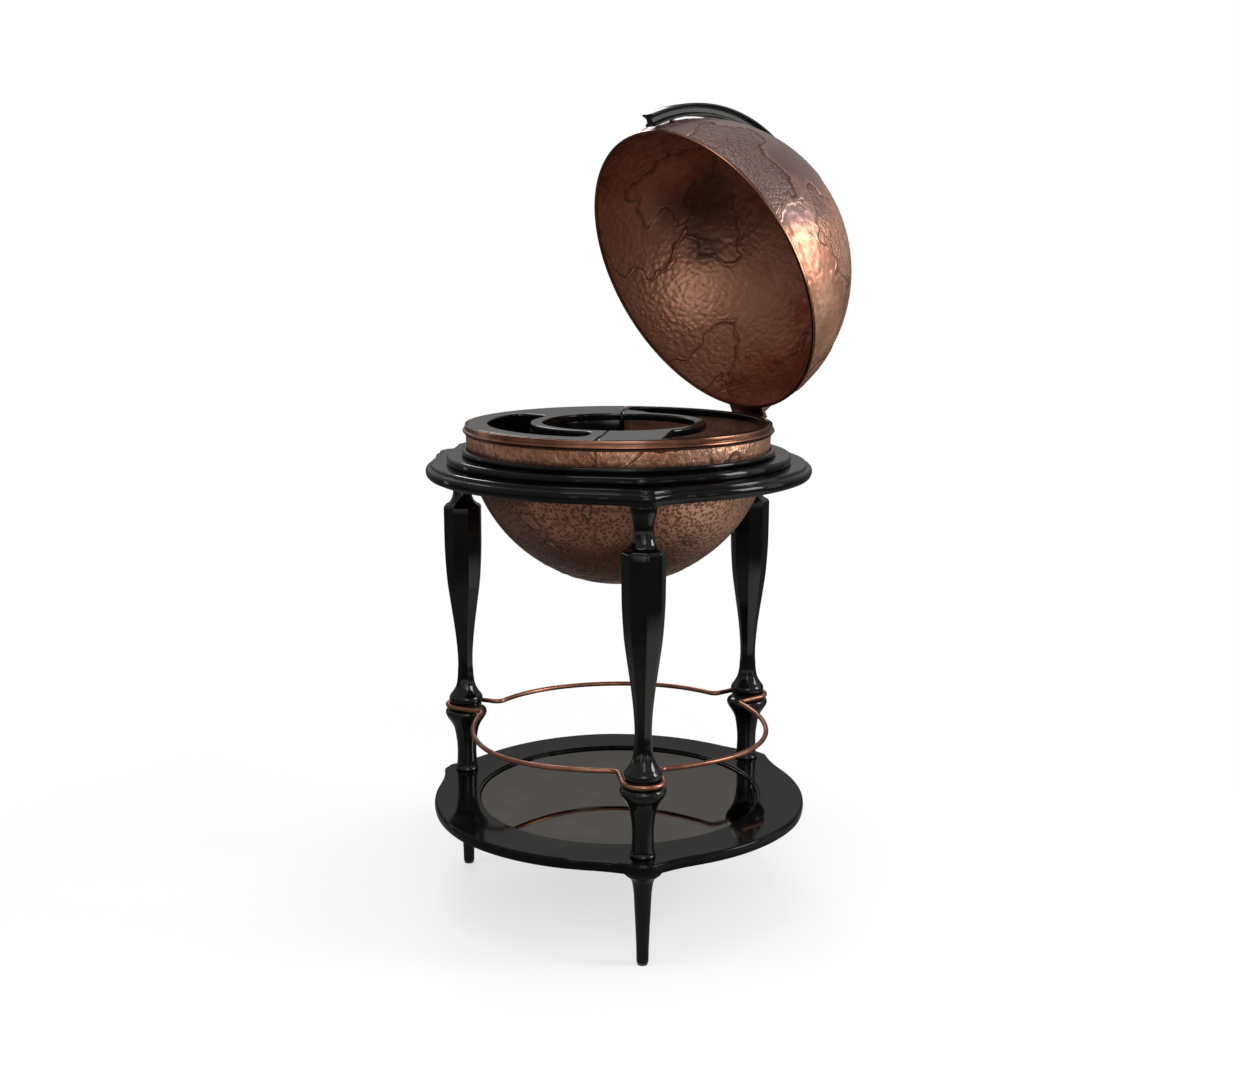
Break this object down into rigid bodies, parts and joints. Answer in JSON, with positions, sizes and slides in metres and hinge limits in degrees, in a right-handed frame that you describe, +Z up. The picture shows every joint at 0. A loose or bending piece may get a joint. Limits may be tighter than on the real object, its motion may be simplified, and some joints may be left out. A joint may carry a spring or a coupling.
{
  "type": "globe drinks cabinet",
  "caption": "Hammered copper globe bar with a hinged upper half, black serving boards and a black lacquer stand with turned legs, rail and shelf.",
  "frame": {"origin": "on the floor, under the middle of the object's plan with the lid open; the globe's upright axis stands 66 mm in front of it", "axes": "+Z up; the front is -Y, the hinge and one leg are at +Y, +X is the side of the bottle opening"},
  "size_m": [0.646, 0.7817, 1.3573],
  "materials": {
    "black_lacquer": "high gloss black lacquer",
    "copper": "hammered and patinated copper",
    "dark_glass": "polished dark glass",
    "steel": "satin",
    "dark_bronze": "darkened",
    "felt": "matt"
  },
  "bodies": {
    "stand": {"foot_front_right": "black_lacquer", "foot_back": "black_lacquer", "foot_front_left": "black_lacquer", "glide_front_right": "felt", "glide_back": "felt", "glide_front_left": "felt", "tie_rod_front_right": "steel", "tie_rod_back": "steel", "tie_rod_front_left": "steel", "ring_stud_front_right": "steel", "ring_stud_back": "steel", "ring_stud_front_left": "steel", "leg_base_front_right": "black_lacquer", "leg_base_back": "black_lacquer", "leg_base_front_left": "black_lacquer", "leg_shaft_front_right": "black_lacquer", "leg_shaft_back": "black_lacquer", "leg_shaft_front_left": "black_lacquer", "rail": "copper", "shelf_board": "black_lacquer", "shelf_glass": "dark_glass", "apron_ring": "black_lacquer", "step_ring": "black_lacquer", "seat_bead": "black_lacquer", "bowl": "copper", "rim_band": "copper", "tray_left": "black_lacquer", "tray_right": "black_lacquer", "pocket_liner": "black_lacquer", "well_floor": "black_lacquer", "well_wall": "black_lacquer", "bay_floor": "black_lacquer", "divider_front": "black_lacquer", "divider_back": "black_lacquer", "hinge_bracket": "dark_bronze", "hinge_pin": "dark_bronze", "bracket_screw_left": "dark_bronze", "bracket_screw_right": "dark_bronze"},
    "lid": {"lid_dome": "copper", "lid_hoop": "copper", "meridian_arc": "black_lacquer", "arc_post_1": "copper", "arc_post_2": "copper", "arc_post_3": "copper", "arc_post_4": "copper", "arc_post_5": "copper", "hinge_leaf": "dark_bronze", "leaf_screw_left": "dark_bronze", "leaf_screw_right": "dark_bronze"}
  },
  "joints": [
    {"name": "lid_hinge", "type": "hinge", "parent": "stand", "child": "lid", "pos_m": [0, 0.20968, 0.8165], "axis": [1, 0, 0], "range_deg": [0, 64.7]}
  ]
}
